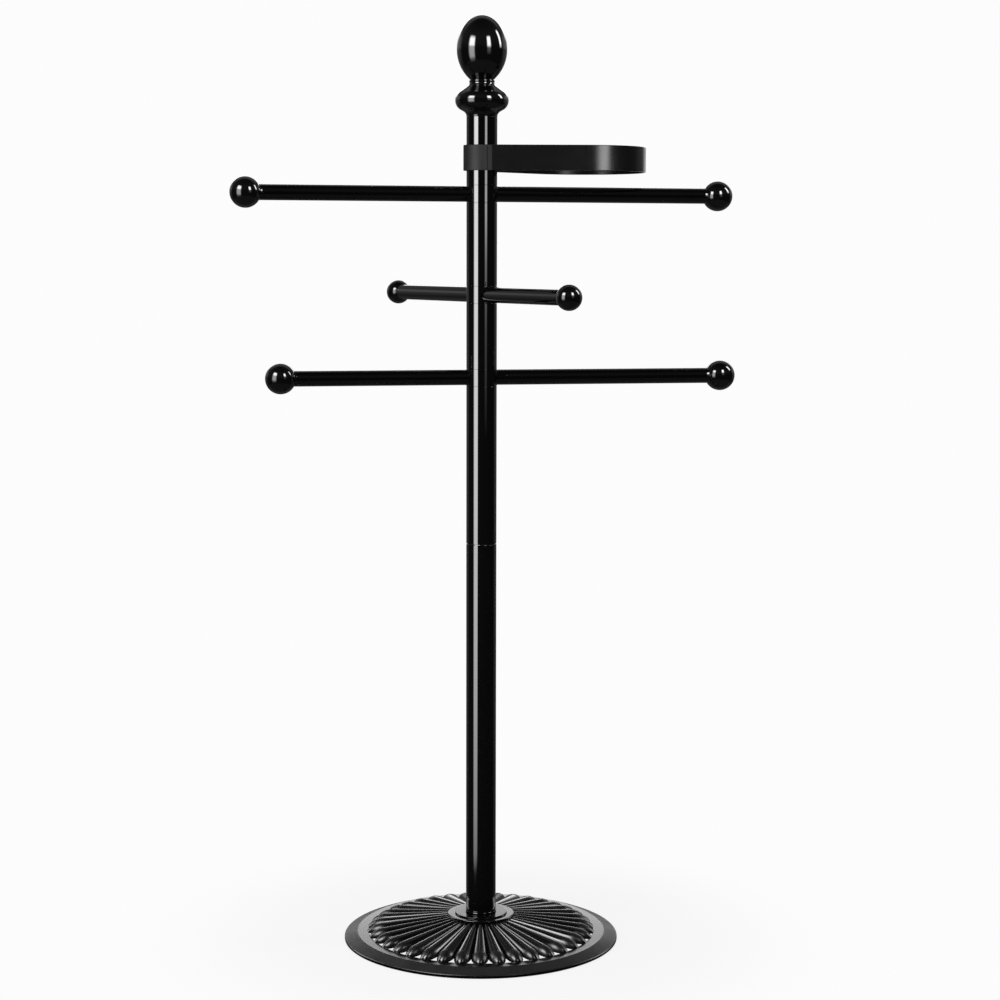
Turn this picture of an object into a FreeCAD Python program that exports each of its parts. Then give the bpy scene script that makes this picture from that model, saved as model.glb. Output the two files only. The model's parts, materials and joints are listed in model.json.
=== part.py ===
import FreeCAD, Part
import math
import os
from FreeCAD import Vector

# Freestanding towel stand. Millimetres, +Z up. The post stands on the Z axis and the floor is z = 0.
# The stand is a column of short sections on a tie rod. Three arm tiers and a towel loop swivel on it.

# Column sections, from the base up
post_diameter = 31.75
post_wall = 1.5
section_seam = 0.3          # gap that shows between two sections
lower_tube_length = 392.6
middle_tube_length = 165.0
lower_spacer_length = 67.4
upper_spacer_length = 85.1
band_spacer_length = 16.0
neck_tube_length = 30.0
plug_fit = 0.05             # radial clearance of a plug in a tube
plug_length = 12.0
joint_spigot_length = 40.0

# Tie rod through the column, in two lengths
tie_rod_diameter = 8.0
running_clearance = 0.1     # radial, between the tie rod and what it passes through
thread_fit = 0.05           # radial, in nuts and threaded holes
coupler_diameter = 14.0
coupler_length = 30.0
coupler_clearance = 0.15
nut_across_flats = 13.0
nut_height = 6.5
washer_diameter = 20.0
washer_thickness = 1.6
rod_end_past_nut = 3.0

# Cast base
casting_lift = 1.0          # rim above the floor, on the rubber ring
casting_wall = 3.2
rim_radius = 145.0
rim_edge_thickness = 2.9
rim_edge_rounding = 1.2
rim_foot_width = 9.0
rim_slope_width = 14.0
rim_slope_rise = 4.8
flat_ring_width = 11.5
hub_radius = 35.2
hub_height = 26.5
hub_edge_rounding = 0.8
hub_boss_radius = 15.0
hub_boss_depth = 12.5       # from the hub's top to the face that the washer bears on
rib_count = 38
rib_overlap = 1.04          # rib width over the spacing, so that neighbours run together
rib_root_depth = 5.0        # of a rib's start inside the hub
rib_hub_drop = 3.9          # rib's middle line under the hub's top
rib_nose_length = 15.5      # of the drooping nose, before the flat ring
rib_nose_drop = 0.4         # rib's middle line under the flat ring where the nose begins
rib_tip_overlap = 2.5       # of a nose on the flat ring
rib_tip_bluntness = 5.0     # pull of the nose curve at its tip
rib_underside_depth = 3.0   # under the middle line at the hub; it thins towards the nose
floor_ring_width = 5.0
floor_ring_inset = 2.0      # from the rim to the ring
floor_ring_thickness = 2.5
floor_ring_clearance = 0.1
seat_step_width = 7.5       # of the hub, round the seat disc
seat_disc_thickness = 1.5
foot_bead_height = 2.4      # the rounded ring that the post stands on
foot_bead_swell = 0.4       # how far the ring stands out past the post

# Swivel joints
washer_recess = 0.7         # plug face below the end of its tube
washer_side_clearance = 0.9

# Arm tiers. A yaw turns the right arm away from the viewer, and a reach goes to a ball's centre.
arm_diameter = 16.0
arm_wall = 1.5
collar_margin = 0.75        # of a swivel collar above and below its rods
arm_insert_length = 14.0
arm_joint_gap = 0.05        # between a rod and the collar or ball that it meets
stud_diameter = 6.0
stud_depth_in_collar = 8.0
stud_depth_in_arm = 12.0
stud_depth_in_ball = 9.0
ball_neck_length = 2.4
large_ball = 31.6
small_ball = 25.8
top_arm_yaw = 15.0
middle_arm_yaw = -60.0
bottom_arm_yaw = 11.0
top_left_reach = 245.0
top_right_reach = 258.0
middle_left_reach = 187.0
middle_right_reach = 172.0
bottom_left_reach = 209.0
bottom_right_reach = 257.0

# Towel loop: a strip bent into a drop shape, doubled round the post
band_width = 26.0
band_thickness = 1.5
band_edge_rounding = 0.6
band_overhang = 1.5         # of the strip above and below its swivel collar
band_wrap_gap = 0.1         # between the band and the collar, and between its two layers
band_bow_radius = 65.0      # outside, at the far end of the loop
band_bow_distance = 118.0   # from the post axis to the centre of the far bow
band_yaw = 25.0             # axis of the loop, away from the viewer
band_lap_length = 5.0       # of the outer end, past where the front run leaves the post
band_lap_rounding = 1.2
band_start_setback = 5.0    # degrees from where the return run meets the post to the inner end
band_screw_diameter = 3.0
band_screw_head = 5.6
band_screw_head_depth = 1.3
band_screw_length = 9.0
band_screw_spacing = 12.0
band_screw_angle = 130.0    # round the post from the axis of the loop

# Finial: heights of the ring count up from the neck tube, and those of the egg from the ring
ring_spigot_length = 10.0
ring_cove_height = 3.7
ring_cove_radius = 6.0
ring_underside_rise = 6.5
ring_bulge_radius = 27.4
ring_bulge_height = 12.0
ring_bulge_rounding = 10.4
ring_flare_rise = 10.1
ring_flare_rounding = 4.4
ring_neck_length = 2.5
finial_neck_radius = 12.9
nut_pocket_diameter = 18.0
nut_pocket_depth = 12.0
spring_washer_diameter = 16.0
spring_washer_thickness = 1.6
egg_radius = 25.8
egg_widest_height = 32.9
egg_top_rise = 35.0         # from the widest place to the top
egg_lower_radius = 39.8
egg_lower_drop = 26.5
neck_groove_depth = 0.8
neck_bead_height = 2.6
egg_thread_depth = 18.0

cut_margin = 1.0            # how far a cutting shape runs past what it cuts

post_radius = post_diameter / 2
tube_bore_radius = post_radius - post_wall
plug_radius = tube_bore_radius - plug_fit
rod_radius = tie_rod_diameter / 2
rod_bore_radius = rod_radius + running_clearance
rod_thread_radius = rod_radius + thread_fit
arm_radius = arm_diameter / 2
arm_bore_radius = arm_radius - arm_wall
stud_radius = stud_diameter / 2
stud_bore_radius = stud_radius + thread_fit
collar_height = arm_diameter + 2 * collar_margin
seat_top = hub_height + seat_disc_thickness
post_foot = seat_top + foot_bead_height


# ---- shapes that repeat

def cylinder(radius, bottom, top):
    return Part.makeCylinder(radius, top - bottom, Vector(0, 0, bottom))


def pipe(outer, inner, bottom, top):
    return cylinder(outer, bottom, top).cut(cylinder(inner, bottom - cut_margin, top + cut_margin))


def swivelled(shape, yaw):
    """A shape turned round the post, so that its right side goes away from the viewer."""
    return shape.rotated(Vector(0, 0, 0), Vector(0, 0, 1), yaw)


def along_x(shape, height, left):
    """A shape made along +Z, laid at a height along +X, or along -X on the left."""
    laid = shape.rotated(Vector(0, 0, 0), Vector(0, 1, 0), -90 if left else 90)
    return laid.translated(Vector(0, 0, height))


def group(solids):
    return Part.makeCompound(solids) if len(solids) > 1 else solids[0]


def fitted_roundings(points, roundings):
    """The roundings, made smaller where two of them would not fit on the edge between them."""
    count = len(points)
    halves, reaches = [], []
    for index in range(count):
        back = points[index - 1] - points[index]
        ahead = points[(index + 1) % count] - points[index]
        halves.append(back.getAngle(ahead) / 2)
        reaches.append(roundings[index] / math.tan(halves[-1]))
    shares = []
    for index in range(count):
        length = points[index].distanceToPoint(points[(index + 1) % count])
        wanted = reaches[index] + reaches[(index + 1) % count]
        shares.append(min(1.0, length / wanted) if wanted else 1.0)
    fitted = [roundings[index] * min(shares[index - 1], shares[index]) for index in range(count)]
    return fitted, halves


def rounded_outline(corners):
    """Edges of a closed outline in the XZ plane. Each corner is (radius, height, rounding)."""
    points = [Vector(radius, 0, height) for radius, height, rounding in corners]
    roundings, halves = fitted_roundings(points, [rounding for radius, height, rounding in corners])
    edges, first, last = [], None, None
    for index, here in enumerate(points):
        back = (points[index - 1] - here).normalize()
        ahead = (points[(index + 1) % len(points)] - here).normalize()
        start = end = here
        if roundings[index]:
            reach = roundings[index] / math.tan(halves[index])
            start, end = here + back * reach, here + ahead * reach
            centre = here + (back + ahead).normalize() * (roundings[index] / math.sin(halves[index]))
            middle = centre + (here - centre).normalize() * roundings[index]
        if last is not None and last.distanceToPoint(start) > Part.Precision.confusion():
            edges.append(Part.LineSegment(last, start).toShape())
        if roundings[index]:
            edges.append(Part.Arc(start, middle, end).toShape())
        first = start if first is None else first
        last = end
    edges.append(Part.LineSegment(last, first).toShape())
    return edges


def turned(edges):
    """The solid that a closed outline makes when it turns round the Z axis."""
    return Part.Face(Part.Wire(edges)).revolve(Vector(0, 0, 0), Vector(0, 0, 1), 360)


def turned_corners(corners):
    return turned(rounded_outline(corners))


# ---- the column's sections, each a bottom and a top height

column = [
    ("lower_post_tube", lower_tube_length),
    ("middle_post_tube", middle_tube_length),
    ("bottom_collar", collar_height),
    ("lower_spacer_tube", lower_spacer_length),
    ("middle_collar", collar_height),
    ("upper_spacer_tube", upper_spacer_length),
    ("top_collar", collar_height),
    ("band_spacer_tube", band_spacer_length),
    ("band_collar", band_width - 2 * band_overhang),
    ("neck_tube", neck_tube_length)]
spans = {}
section_bottom = post_foot
for section, length in column:
    spans[section] = (section_bottom, section_bottom + length)
    section_bottom += length + section_seam

post_joint_height = spans["lower_post_tube"][1] + section_seam / 2
neck_top = spans["neck_tube"][1]
ring_top = (neck_top + ring_cove_height + ring_underside_rise + ring_bulge_height + ring_flare_rise
            + ring_neck_length)
nut_seat = ring_top - nut_pocket_depth
boss_bottom = hub_height - hub_boss_depth
base_nut_bottom = boss_bottom - washer_thickness - nut_height


def middle_of(section):
    return sum(spans[section]) / 2


def post_tube(section):
    return pipe(post_radius, tube_bore_radius, *spans[section])


# ---- base

rim_top = casting_lift + rim_edge_thickness
flat_ring_height = rim_top + rim_slope_rise
flat_ring_outer = rim_radius - rim_slope_width
flat_ring_inner = flat_ring_outer - flat_ring_width
rib_start = Vector(hub_radius - rib_root_depth, 0, hub_height - rib_hub_drop)
rib_shoulder = Vector(flat_ring_inner - rib_nose_length, 0, flat_ring_height - rib_nose_drop)
rib_tip_radius = flat_ring_inner + rib_tip_overlap


def rib():
    """One radial rib: a round bar that widens with the radius and droops to a blunt nose.

    It is turned about its own middle line, laid along X, and then tilted down from the hub.
    """
    half_width = math.sin(math.pi / rib_count) * rib_overlap
    run = rib_shoulder - rib_start
    tip = run.Length * (rib_tip_radius - rib_start.x) / run.x
    root = Vector(0, rib_start.x * half_width, 0)
    shoulder = Vector(run.Length, rib_shoulder.x * half_width, 0)
    pull = shoulder + (shoulder - root).normalize() * ((tip - run.Length) / 2)
    nose = Part.BezierCurve()
    nose.setPoles([shoulder, pull, Vector(tip, rib_tip_bluntness, 0), Vector(tip, 0, 0)])
    outline = [Part.LineSegment(Vector(0, 0, 0), root).toShape(),
               Part.LineSegment(root, shoulder).toShape(),
               nose.toShape(),
               Part.LineSegment(Vector(tip, 0, 0), Vector(0, 0, 0)).toShape()]
    bar = Part.Face(Part.Wire(outline)).revolve(Vector(0, 0, 0), Vector(1, 0, 0), 360)
    tilt = math.degrees(math.atan2(-run.z, run.x))
    return bar.rotated(Vector(0, 0, 0), Vector(0, 1, 0), tilt).translated(rib_start)


def base_casting():
    rim_inner = rim_radius - rim_foot_width
    ring_underside = flat_ring_height - casting_wall
    slope = rim_slope_rise / rim_slope_width
    rim_underside = ring_underside - slope * (rim_inner - flat_ring_outer)
    ring = turned_corners([
        (flat_ring_inner, ring_underside, 0),
        (flat_ring_outer, ring_underside, 0),
        (rim_inner, rim_underside, 0),
        (rim_inner, casting_lift, 0),
        (rim_radius, casting_lift, 0),
        (rim_radius, rim_top, rim_edge_rounding),
        (flat_ring_outer, flat_ring_height, 0),
        (flat_ring_inner, flat_ring_height, 0)])
    hub = turned_corners([
        (rod_bore_radius, boss_bottom, 0),
        (hub_radius, boss_bottom, 0),
        (hub_radius, hub_height, hub_edge_rounding),
        (rod_bore_radius, hub_height, 0)])
    roof = rib_start.z - rib_underside_depth
    below_bars = rib().BoundBox.ZMin - cut_margin
    hollow = turned_corners([
        (hub_boss_radius, below_bars, 0),
        (rim_inner, below_bars, 0),
        (rim_inner, rim_underside, 0),
        (flat_ring_outer, ring_underside, 0),
        (flat_ring_inner, ring_underside, 0),
        (rib_start.x, roof, 0),
        (hub_boss_radius, roof, 0)])
    rib_above = rib().cut(hollow)
    quarter_turn = rib_count / 4
    ribs = [swivelled(rib_above, 360 / rib_count * (place - quarter_turn)) for place in range(rib_count)]
    groove_outer = rim_radius - floor_ring_inset
    groove = pipe(groove_outer, groove_outer - floor_ring_width, 0, floor_ring_thickness)
    return hub.cut(hollow).multiFuse(ribs + [ring]).cut(groove)


def floor_ring():
    outer = rim_radius - floor_ring_inset - floor_ring_clearance
    return pipe(outer, outer - floor_ring_width + 2 * floor_ring_clearance, 0, floor_ring_thickness)


def seat_disc():
    edge = hub_radius - seat_step_width
    return turned_corners([
        (rod_bore_radius, hub_height, 0),
        (edge, hub_height, 0),
        (edge, seat_top, seat_disc_thickness / 3),
        (rod_bore_radius, seat_top, 0)])


def foot_bead():
    """A ring with a half round edge between the seat disc and the foot of the post."""
    outline = [
        Vector(plug_radius + plug_fit, 0, seat_top),
        Vector(post_radius, 0, seat_top),
        Vector(post_radius + foot_bead_swell, 0, (seat_top + post_foot) / 2),
        Vector(post_radius, 0, post_foot),
        Vector(plug_radius + plug_fit, 0, post_foot)]
    inner_bottom, bottom, middle, top, inner_top = outline
    return turned([
        Part.LineSegment(inner_bottom, bottom).toShape(),
        Part.Arc(bottom, middle, top).toShape(),
        Part.LineSegment(top, inner_top).toShape(),
        Part.LineSegment(inner_top, inner_bottom).toShape()])


def foot_plug():
    return pipe(plug_radius, rod_bore_radius, seat_top, post_foot + plug_length)


def base_washer():
    return pipe(washer_diameter / 2, rod_bore_radius, boss_bottom - washer_thickness, boss_bottom)


def nut(bottom):
    corner = Vector(nut_across_flats / math.sqrt(3), 0, bottom)
    outline = Part.makePolygon([swivelled(Part.Vertex(corner), 60 * side).Point for side in range(7)])
    blank = Part.Face(outline).extrude(Vector(0, 0, nut_height))
    return blank.cut(cylinder(rod_thread_radius, bottom - cut_margin, bottom + nut_height + cut_margin))


# ---- tie rod, plugs and swivel washers

def lower_tie_rod():
    return cylinder(rod_radius, base_nut_bottom - rod_end_past_nut, spans["lower_post_tube"][1])


def upper_tie_rod():
    return cylinder(rod_radius, spans["middle_post_tube"][0], ring_top + egg_thread_depth - cut_margin)


def tie_rod_coupler():
    bottom = post_joint_height - coupler_length / 2
    return pipe(coupler_diameter / 2, rod_thread_radius, bottom, bottom + coupler_length)


def joint_spigot():
    bottom = post_joint_height - joint_spigot_length / 2
    bore = coupler_diameter / 2 + coupler_clearance
    return pipe(plug_radius, bore, bottom, bottom + joint_spigot_length)


def swivel_faces():
    """Each plug face that looks at a collar: its height, which way it looks, and its plug's length."""
    faces = []
    for (below, below_length), (above, above_length) in zip(column, column[1:]):
        if above.endswith("collar"):
            room = below_length - 2 * washer_recess - section_seam
            faces.append((spans[below][1] - washer_recess, 1, min(plug_length, room / 2)))
        elif below.endswith("collar"):
            room = above_length - 2 * washer_recess - section_seam
            faces.append((spans[above][0] + washer_recess, -1, min(plug_length, room / 2)))
    return faces


def tube_end_plugs():
    return group([pipe(plug_radius, rod_bore_radius, *sorted((face, face - way * length)))
                  for face, way, length in swivel_faces()])


def swivel_washers():
    thickness = washer_recess + section_seam
    outer = tube_bore_radius - washer_side_clearance
    return group([pipe(outer, rod_bore_radius, *sorted((face, face + way * thickness)))
                  for face, way, length in swivel_faces()])


# ---- arm tiers

def arm_tier(tier, yaw, left_reach, right_reach, ball_diameter):
    """The nodes of one tier: its collar, two rods with inserts and studs, and two balls."""
    height = middle_of(tier + "_collar")
    ball_radius = ball_diameter / 2
    ball_seat = math.sqrt(ball_radius ** 2 - arm_radius ** 2)
    insert_radius = arm_bore_radius - plug_fit
    root = post_radius + arm_joint_gap
    saddle = cylinder(root, height - arm_diameter, height + arm_diameter)
    collar = pipe(post_radius, rod_bore_radius, *spans[tier + "_collar"])
    stud_start = post_radius - stud_depth_in_collar
    solids = {"arm_inserts": [], "root_studs": [], "tip_studs": []}
    for side, reach in (("left", left_reach), ("right", right_reach)):
        left = side == "left"
        neck = reach - ball_seat - ball_neck_length
        tip = neck - arm_joint_gap
        socket = cylinder(stud_bore_radius, stud_start - thread_fit, post_radius + cut_margin)
        collar = collar.cut(along_x(socket, height, left))
        tube = pipe(arm_radius, arm_bore_radius, 0, tip)
        solids[side + "_arm"] = [along_x(tube, height, left).cut(saddle)]
        root_insert = pipe(insert_radius, stud_bore_radius, 0, root + arm_insert_length)
        tip_insert = pipe(insert_radius, stud_bore_radius, tip - arm_insert_length, tip)
        root_stud = cylinder(stud_radius, stud_start, post_radius + stud_depth_in_arm)
        tip_stud = cylinder(stud_radius, neck - stud_depth_in_arm, neck + stud_depth_in_ball)
        solids["arm_inserts"] += [along_x(root_insert, height, left).cut(saddle),
                                  along_x(tip_insert, height, left)]
        solids["root_studs"].append(along_x(root_stud, height, left))
        solids["tip_studs"].append(along_x(tip_stud, height, left))
        ball = Part.makeSphere(ball_radius, Vector(0, 0, reach)).fuse(cylinder(arm_radius, neck, reach))
        hole = cylinder(stud_bore_radius, neck - cut_margin, neck + stud_depth_in_ball + thread_fit)
        solids[side + "_ball"] = [along_x(ball.cut(hole), height, left)]
    solids["collar"] = [collar]
    return {tier + "_" + piece: swivelled(group(made), yaw) for piece, made in solids.items()}


# ---- towel loop, made with its axis along +X and its middle at z = 0

inner_wrap = post_radius + band_wrap_gap + band_thickness / 2
outer_wrap = inner_wrap + band_thickness + band_wrap_gap
bow = band_bow_radius - band_thickness / 2
bow_centre = Vector(band_bow_distance, 0, 0)


def polar(radius, degrees):
    turn = math.radians(degrees)
    return Vector(radius * math.cos(turn), radius * math.sin(turn), 0)


def tangent_angle(wrap):
    """Angle, round the post, at which a straight run to the far bow leaves a wrap of this radius."""
    return 90 + math.degrees(math.asin((bow - wrap) / band_bow_distance))


def arc(centre, radius, first, last):
    return Part.Arc(*[centre + polar(radius, turn) for turn in (first, (first + last) / 2, last)]).toShape()


def lap_shaving(corner, run, outward):
    """What rounding the lap's outer corner takes off: a sharp corner less a quarter of a circle."""
    on_face, on_end = corner - run * band_lap_rounding, corner - outward * band_lap_rounding
    centre = on_end - run * band_lap_rounding
    middle = centre + (corner - centre).normalize() * band_lap_rounding
    outline = Part.Wire([
        Part.LineSegment(on_face, corner).toShape(),
        Part.LineSegment(corner, on_end).toShape(),
        Part.Arc(on_end, middle, on_face).toShape()])
    return Part.Face(outline).translated(Vector(0, 0, -band_width)).extrude(Vector(0, 0, 2 * band_width))


def towel_band():
    """The strip from its inner end behind the post, round the left side, out to the bow and back,
    and once more round the left side to its lap over the front run."""
    post_centre = Vector(0, 0, 0)
    front, back = 360 - tangent_angle(inner_wrap), tangent_angle(outer_wrap)
    start = back + band_start_setback
    leave, reach_bow = polar(inner_wrap, front), bow_centre + polar(bow, front)
    run = (reach_bow - leave).normalize()
    lap_start = polar(outer_wrap, front)
    lap_end = lap_start + run * band_lap_length
    path = Part.Wire([
        arc(post_centre, inner_wrap, start, front),
        Part.LineSegment(leave, reach_bow).toShape(),
        arc(bow_centre, bow, front - 360, back),
        Part.LineSegment(bow_centre + polar(bow, back), polar(outer_wrap, back)).toShape(),
        arc(post_centre, outer_wrap, back, front),
        Part.LineSegment(lap_start, lap_end).toShape()])
    half_width, half_thickness = band_width / 2, band_thickness / 2
    section = Part.Wire(rounded_outline([
        (inner_wrap - half_thickness, -half_width, band_edge_rounding),
        (inner_wrap + half_thickness, -half_width, band_edge_rounding),
        (inner_wrap + half_thickness, half_width, band_edge_rounding),
        (inner_wrap - half_thickness, half_width, band_edge_rounding)]))
    strip = path.makePipeShell([swivelled(section, start)], True, False)
    outward = Vector(run.y, -run.x, 0)
    strip = strip.cut(lap_shaving(lap_end + outward * half_thickness, run, outward))
    return strip.cut(band_screw_shapes(thread_fit))


def band_screw_shapes(clearance):
    """The two countersunk screws through the double wrap, grown by a clearance."""
    face = outer_wrap + band_thickness / 2
    inward = Vector(-1, 0, 0)
    shank_radius = band_screw_diameter / 2 + clearance
    head_radius = band_screw_head / 2 + clearance
    screws = []
    for side in (-0.5, 0.5):
        top = Vector(face, 0, side * band_screw_spacing)
        shank = Part.makeCylinder(shank_radius, band_screw_length + clearance, top, inward)
        head = Part.makeCone(head_radius, shank_radius, band_screw_head_depth, top, inward)
        screws.append(swivelled(shank.fuse(head), band_screw_angle))
    return group(screws)


def band_collar():
    bottom, top = spans["band_collar"]
    ring = pipe(post_radius, rod_bore_radius, (bottom - top) / 2, (top - bottom) / 2)
    return ring.cut(band_screw_shapes(thread_fit))


def on_the_post(shape):
    return swivelled(shape, band_yaw).translated(Vector(0, 0, middle_of("band_collar")))


# ---- finial

def finial_ring():
    """A flared ring: a cove from the post, a round bulge, and a flare to the neck of the egg."""
    bulge_bottom = neck_top + ring_cove_height + ring_underside_rise
    bulge_top = bulge_bottom + ring_bulge_height
    return turned_corners([
        (rod_bore_radius, neck_top - ring_spigot_length, 0),
        (plug_radius, neck_top - ring_spigot_length, 0),
        (plug_radius, neck_top, 0),
        (post_radius, neck_top, 0),
        (post_radius, neck_top + ring_cove_height, ring_cove_radius),
        (ring_bulge_radius, bulge_bottom, ring_bulge_rounding),
        (ring_bulge_radius, bulge_top, ring_bulge_rounding),
        (finial_neck_radius, bulge_top + ring_flare_rise, ring_flare_rounding),
        (finial_neck_radius, ring_top, 0),
        (nut_pocket_diameter / 2, ring_top, 0),
        (nut_pocket_diameter / 2, nut_seat, 0),
        (rod_bore_radius, nut_seat, 0)])


def spring_washer():
    return pipe(spring_washer_diameter / 2, rod_bore_radius, nut_seat, nut_seat + spring_washer_thickness)


def finial_egg():
    """A bead at the neck, then a lower side that is one arc and an upper half that is half an ellipse."""
    widest = Vector(egg_radius, 0, egg_widest_height)
    middle = Vector(0, 0, egg_widest_height)
    top = Vector(0, 0, egg_widest_height + egg_top_rise)
    lower_centre = widest - Vector(egg_lower_radius, 0, 0)
    drop = math.asin(egg_lower_drop / egg_lower_radius)
    lower_end, lower_middle = [lower_centre + Vector(math.cos(turn), 0, -math.sin(turn)) * egg_lower_radius
                               for turn in (drop, drop / 2)]
    bead_bottom = Vector(finial_neck_radius - neck_groove_depth, 0, 0)
    bead_top = bead_bottom + Vector(0, 0, neck_bead_height)
    bead_middle = Vector(finial_neck_radius, 0, neck_bead_height / 2)
    upper = Part.ArcOfEllipse(Part.Ellipse(top, widest, middle), 0, math.pi / 2)
    egg = turned(Part.__sortEdges__([
        Part.LineSegment(Vector(0, 0, 0), bead_bottom).toShape(),
        Part.Arc(bead_bottom, bead_middle, bead_top).toShape(),
        Part.LineSegment(bead_top, lower_end).toShape(),
        Part.Arc(lower_end, lower_middle, widest).toShape(),
        upper.toShape(),
        Part.LineSegment(top, Vector(0, 0, 0)).toShape()]))
    hole = cylinder(rod_thread_radius, -cut_margin, egg_thread_depth)
    return egg.cut(hole).translated(Vector(0, 0, ring_top))


# ---- the whole stand

nodes = {
    "base_casting": base_casting(),
    "floor_ring": floor_ring(),
    "seat_disc": seat_disc(),
    "foot_bead": foot_bead(),
    "foot_plug": foot_plug(),
    "base_washer": base_washer(),
    "base_nut": nut(base_nut_bottom),
    "lower_tie_rod": lower_tie_rod(),
    "tie_rod_coupler": tie_rod_coupler(),
    "upper_tie_rod": upper_tie_rod(),
    "joint_spigot": joint_spigot(),
    "tube_end_plugs": tube_end_plugs(),
    "swivel_washers": swivel_washers(),
    "band_collar": on_the_post(band_collar()),
    "towel_band": on_the_post(towel_band()),
    "band_screws": on_the_post(band_screw_shapes(0)),
    "finial_ring": finial_ring(),
    "spring_washer": spring_washer(),
    "top_nut": nut(nut_seat + spring_washer_thickness),
    "finial_egg": finial_egg()}
for section, length in column:
    if section.endswith("tube"):
        nodes[section] = post_tube(section)
nodes.update(arm_tier("top", top_arm_yaw, top_left_reach, top_right_reach, large_ball))
nodes.update(arm_tier("middle", middle_arm_yaw, middle_left_reach, middle_right_reach, small_ball))
nodes.update(arm_tier("bottom", bottom_arm_yaw, bottom_left_reach, bottom_right_reach, large_ball))

os.makedirs("parts", exist_ok=True)
for node, shape in nodes.items():
    shape.exportStep("parts/" + node + ".step")
    print(node, len(shape.Solids), "solids", round(shape.Volume / 1000, 2), "cm3, valid", shape.isValid())
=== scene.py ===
import json
import math

import bmesh
import bpy
import numpy as np
from mathutils import Euler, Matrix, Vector


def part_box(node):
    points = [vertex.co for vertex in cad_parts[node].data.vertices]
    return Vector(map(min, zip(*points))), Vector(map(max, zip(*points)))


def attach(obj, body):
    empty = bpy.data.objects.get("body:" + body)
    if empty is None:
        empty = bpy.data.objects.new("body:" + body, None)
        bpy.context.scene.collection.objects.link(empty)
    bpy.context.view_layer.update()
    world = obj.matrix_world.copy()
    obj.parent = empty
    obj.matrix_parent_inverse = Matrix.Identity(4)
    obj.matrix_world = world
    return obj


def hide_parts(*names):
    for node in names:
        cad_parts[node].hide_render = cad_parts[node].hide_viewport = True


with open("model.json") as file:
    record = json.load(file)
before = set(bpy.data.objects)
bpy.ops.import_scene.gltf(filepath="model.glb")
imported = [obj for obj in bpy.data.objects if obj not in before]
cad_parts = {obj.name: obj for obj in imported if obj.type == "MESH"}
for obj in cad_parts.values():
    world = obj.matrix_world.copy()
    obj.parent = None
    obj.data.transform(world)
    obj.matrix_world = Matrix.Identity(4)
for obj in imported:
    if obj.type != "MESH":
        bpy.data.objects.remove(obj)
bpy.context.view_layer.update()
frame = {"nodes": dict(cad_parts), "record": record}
mm = 0.001
print("frame loaded:", len(frame["nodes"]), "nodes")


def nodeBox(node):
    # lowest and highest corner of a CAD node, in mm
    low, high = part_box(node)
    return np.array(low) / mm, np.array(high) / mm


def unit(vectors):
    return vectors / np.linalg.norm(vectors, axis=-1, keepdims=True)


def smoothStep(x):
    # 3 x^2 - 2 x^3, held at 0 and 1 outside
    x = np.clip(x, 0.0, 1.0)
    return x * x * (3 - 2 * x)


def outline(corners, steps, support):
    # Closed outline from corners (across, along, rounding) in mm, anticlockwise. A corner turns into an
    # arc tangent to both sides, between two support points that keep the shading of the sides flat:
    # arc(t) = centre + (sin((1 - t) turn) first + sin(t turn) last) / sin(turn).
    corner = np.array([place[:2] for place in corners], float)
    rounding = np.array([place[2] for place in corners], float)[:, None]
    back = unit(np.roll(corner, 1, 0) - corner)
    ahead = unit(np.roll(corner, -1, 0) - corner)
    half = np.arccos(np.clip((back * ahead).sum(1, keepdims=True), -1, 1)) / 2
    centre = corner + unit(back + ahead) * rounding / np.sin(half)
    reach = rounding / np.tan(half)
    turn = math.pi - 2 * half[:, None]
    t = np.linspace(0, 1, steps)[None, :, None]
    first = (corner + back * reach - centre)[:, None]
    last = (corner + ahead * reach - centre)[:, None]
    arc = centre[:, None] + (np.sin((1 - t) * turn) * first + np.sin(t * turn) * last) / np.sin(turn)
    before = (corner + back * (reach + support))[:, None]
    after = (corner + ahead * (reach + support))[:, None]
    return np.concatenate([before, arc, after], 1).reshape(-1, 2)


def turned(profile, segments):
    # profile (r, z) turned round Z: x = r cos a, y = r sin a
    angle = np.linspace(0, 2 * math.pi, segments, endpoint=False)
    r, z = profile[:, :1], profile[:, 1:]
    return np.stack([r * np.cos(angle), r * np.sin(angle), z + 0 * angle], -1)


def swivelled(points, degrees):
    # points turned round Z
    cosTurn, sinTurn = math.cos(math.radians(degrees)), math.sin(math.radians(degrees))
    return points @ np.array([[cosTurn, sinTurn, 0], [-sinTurn, cosTurn, 0], [0, 0, 1]])


def alongX(points):
    # points made along +Z, laid along +X
    return np.stack([points[..., 2], points[..., 1], -points[..., 0]], -1)


def gridFaces(rows, columns, closedRows=False, closedColumns=True):
    # quads between neighbours of a grid; an anticlockwise outline that is turned faces outwards
    i = np.arange(rows if closedRows else rows - 1)[:, None]
    j = np.arange(columns if closedColumns else columns - 1)[None, :]
    nextI, nextJ = (i + 1) % rows, (j + 1) % columns
    quads = np.broadcast_arrays(i * columns + j, i * columns + nextJ, nextI * columns + nextJ,
                                nextI * columns + j)
    return np.stack(quads, -1).reshape(-1, 4)


# both in metres
mergeDistance = 2e-6
shortestEdge = 1e-6


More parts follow.
